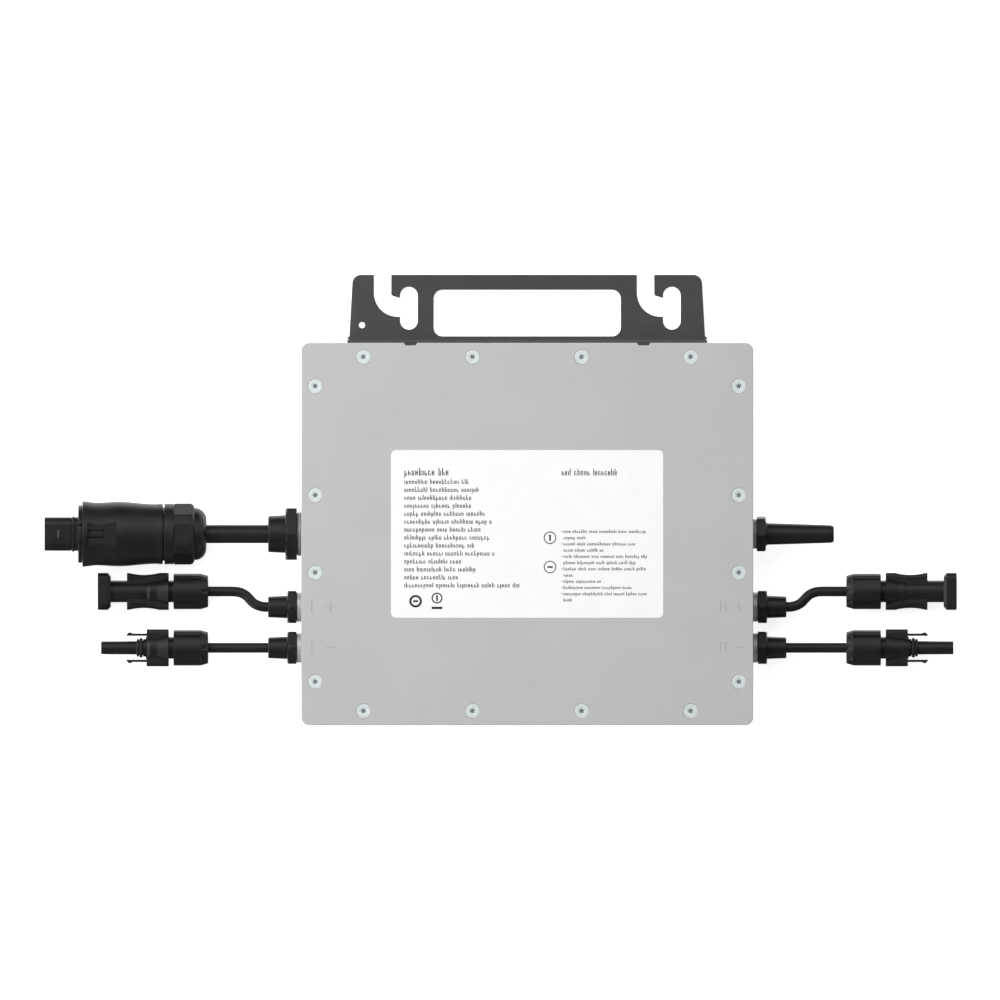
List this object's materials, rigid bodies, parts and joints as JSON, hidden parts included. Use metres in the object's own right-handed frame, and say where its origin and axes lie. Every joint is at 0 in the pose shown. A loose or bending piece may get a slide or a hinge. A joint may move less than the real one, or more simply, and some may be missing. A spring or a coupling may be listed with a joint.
{
  "type": "micro inverter",
  "caption": "Sealed solar micro inverter with screwed cover, rail hanger, solar and mains leads with snap plugs, and a stub antenna.",
  "frame": {"origin": "middle of the back face, in the plane that the inverter lies on or hangs against", "axes": "+X to the side with the antenna, +Y towards the hanger, +Z out of the cover"},
  "size_m": [0.4643, 0.2292, 0.0382],
  "materials": {
    "cast_housing": "fine matt cast surface",
    "cover_metal": "matt blasted sheet",
    "gasket_rubber": "matt",
    "zinc_screws": "zinc plated",
    "label_film": "satin film",
    "hanger_steel": "powder coat",
    "grey_washer": "matt",
    "bright_washer": "nickel plated",
    "black_nylon": "moulded, satin",
    "antenna_rubber": "smooth",
    "lead_sheath": "smooth",
    "plug_black": "fine moulded texture",
    "contact_metal": "tin plated",
    "board_green": "solder mask",
    "pad_silicone": "soft",
    "terminal_green": "moulded",
    "ferrite": "sintered",
    "winding_tape": "polyester tape",
    "capacitor_sleeve": "shrink sleeve",
    "part_epoxy": "epoxy"
  },
  "bodies": {
    "inverter": {"housing": "cast_housing", "cover_plate": "cover_metal", "cover_gasket": "gasket_rubber", "cover_screws": "zinc_screws", "rating_label": "label_film", "hanger_bracket": "hanger_steel", "bracket_screws": "zinc_screws", "ac_gland_washer": "grey_washer", "ac_gland_body": "black_nylon", "ac_gland_cap": "black_nylon", "ac_gland_locknut": "bright_washer", "dc_gland_washers": "bright_washer", "dc_gland_bodies": "black_nylon", "dc_gland_caps": "black_nylon", "dc_gland_locknuts": "bright_washer", "antenna_washer": "grey_washer", "antenna_base": "black_nylon", "antenna_rod": "antenna_rubber", "ac_lead_cable": "lead_sheath", "lead_a_plus": "lead_sheath", "lead_a_minus": "lead_sheath", "lead_b_plus": "lead_sheath", "lead_b_minus": "lead_sheath", "ac_plug_nut": "plug_black", "ac_plug_ring": "plug_black", "ac_plug_sleeve": "plug_black", "ac_plug_insert": "plug_black", "ac_plug_contacts": "contact_metal", "plus_nut_a": "plug_black", "plus_body_a": "plug_black", "plus_contact_a": "contact_metal", "plus_nut_b": "plug_black", "plus_body_b": "plug_black", "plus_contact_b": "contact_metal", "minus_nut_a": "plug_black", "minus_body_a": "plug_black", "minus_seal_a": "gasket_rubber", "minus_contact_a": "contact_metal", "minus_nut_b": "plug_black", "minus_body_b": "plug_black", "minus_seal_b": "gasket_rubber", "minus_contact_b": "contact_metal", "circuit_board": "board_green", "board_screws": "zinc_screws", "thermal_pads": "pad_silicone", "terminal_blocks": "terminal_green", "transformer_cores": "ferrite", "transformer_windings": "winding_tape", "dc_capacitors": "capacitor_sleeve", "power_transistors": "part_epoxy", "relays": "part_epoxy", "line_choke": "ferrite", "radio_module": "board_green", "antenna_lead": "lead_sheath"},
    "tongue": {"ac_plug_tongue": "plug_black"},
    "arm_a_upper": {"latch_a_upper": "plug_black"},
    "arm_a_lower": {"latch_a_lower": "plug_black"},
    "arm_b_upper": {"latch_b_upper": "plug_black"},
    "arm_b_lower": {"latch_b_lower": "plug_black"}
  },
  "joints": [
    {"name": "tongue_press", "type": "hinge", "parent": "inverter", "child": "tongue", "pos_m": [-0.2157, 0, 0.03125], "axis": [0, -1, 0], "range_deg": [0, 7], "stiffness_Nm_per_rad": 0.3},
    {"name": "arm_a_upper_press", "type": "hinge", "parent": "inverter", "child": "arm_a_upper", "pos_m": [-0.193, -0.05123, 0.0093], "axis": [0, 0, 1], "range_deg": [0, 6], "stiffness_Nm_per_rad": 0.4},
    {"name": "arm_a_lower_press", "type": "hinge", "parent": "inverter", "child": "arm_a_lower", "pos_m": [-0.193, -0.06457, 0.0093], "axis": [0, 0, -1], "range_deg": [0, 6], "stiffness_Nm_per_rad": 0.4},
    {"name": "arm_b_upper_press", "type": "hinge", "parent": "inverter", "child": "arm_b_upper", "pos_m": [0.193, -0.05123, 0.0093], "axis": [0, 0, -1], "range_deg": [0, 6], "stiffness_Nm_per_rad": 0.4},
    {"name": "arm_b_lower_press", "type": "hinge", "parent": "inverter", "child": "arm_b_lower", "pos_m": [0.193, -0.06457, 0.0093], "axis": [0, 0, 1], "range_deg": [0, 6], "stiffness_Nm_per_rad": 0.4}
  ]
}
